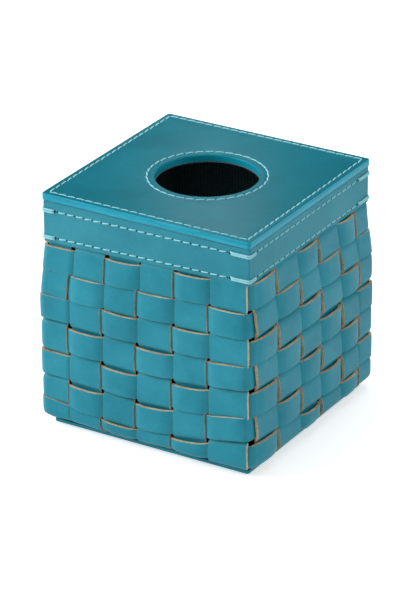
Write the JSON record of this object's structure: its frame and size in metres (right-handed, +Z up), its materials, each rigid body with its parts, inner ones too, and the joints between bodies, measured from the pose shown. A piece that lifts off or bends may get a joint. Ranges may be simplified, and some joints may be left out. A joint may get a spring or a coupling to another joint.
{
  "type": "tissue box cover",
  "caption": "Square box that hides a carton of facial tissues: woven leather straps round a lined board carcass, with a stitched lift-off lid that has a round dispensing hole.",
  "frame": {"origin": "centre of the footprint, on the surface that the box stands on", "axes": "+Z up along the way the lid lifts, front face towards -Y, +X to the right of the front"},
  "size_m": [0.1514, 0.1514, 0.1605],
  "materials": {
    "strap_leather": "smooth semi-gloss teal leather with raw tan cut edges",
    "collar_leather": "smooth satin teal leather",
    "lid_leather": "smooth satin dark teal leather",
    "painted_board": "satin bright teal edge paint over board",
    "board": "raw fibre board",
    "lining": "matt brushed lining cloth",
    "felt": "matt felt",
    "thread": "satin waxed thread"
  },
  "bodies": {
    "box": {"base_pad": "felt", "base_board": "painted_board", "floor_panel": "board", "wall_front": "board", "wall_right": "board", "wall_back": "board", "wall_left": "board", "lining_floor": "lining", "lining_front": "lining", "lining_right": "lining", "lining_back": "lining", "lining_left": "lining", "rim_frame": "painted_board", "weft_strap_1": "strap_leather", "weft_strap_2": "strap_leather", "weft_strap_3": "strap_leather", "weft_strap_4": "strap_leather", "weft_strap_5": "strap_leather", "weft_strap_6": "strap_leather", "weft_strap_7": "strap_leather", "warp_front_1": "strap_leather", "warp_front_2": "strap_leather", "warp_front_3": "strap_leather", "warp_front_4": "strap_leather", "warp_front_5": "strap_leather", "warp_right_1": "strap_leather", "warp_right_2": "strap_leather", "warp_right_3": "strap_leather", "warp_right_4": "strap_leather", "warp_right_5": "strap_leather", "warp_back_1": "strap_leather", "warp_back_2": "strap_leather", "warp_back_3": "strap_leather", "warp_back_4": "strap_leather", "warp_back_5": "strap_leather", "warp_left_1": "strap_leather", "warp_left_2": "strap_leather", "warp_left_3": "strap_leather", "warp_left_4": "strap_leather", "warp_left_5": "strap_leather", "warp_corner_left": "strap_leather", "warp_corner_right": "strap_leather", "collar_front": "collar_leather", "collar_right": "collar_leather", "collar_back": "collar_leather", "collar_left": "collar_leather", "collar_stitch_upper": "thread", "collar_stitch_lower": "thread", "collar_corner_stitches": "thread"},
    "lid": {"lid_lining": "lining", "lid_board": "painted_board", "lid_leather": "lid_leather", "lid_locating_frame": "board", "lid_edge_stitch": "thread", "lid_hole_stitch": "thread"}
  },
  "joints": [
    {"name": "lid_lift", "type": "slide", "parent": "box", "child": "lid", "axis": [0, 0, 1], "range_m": [0, 0.16]}
  ]
}
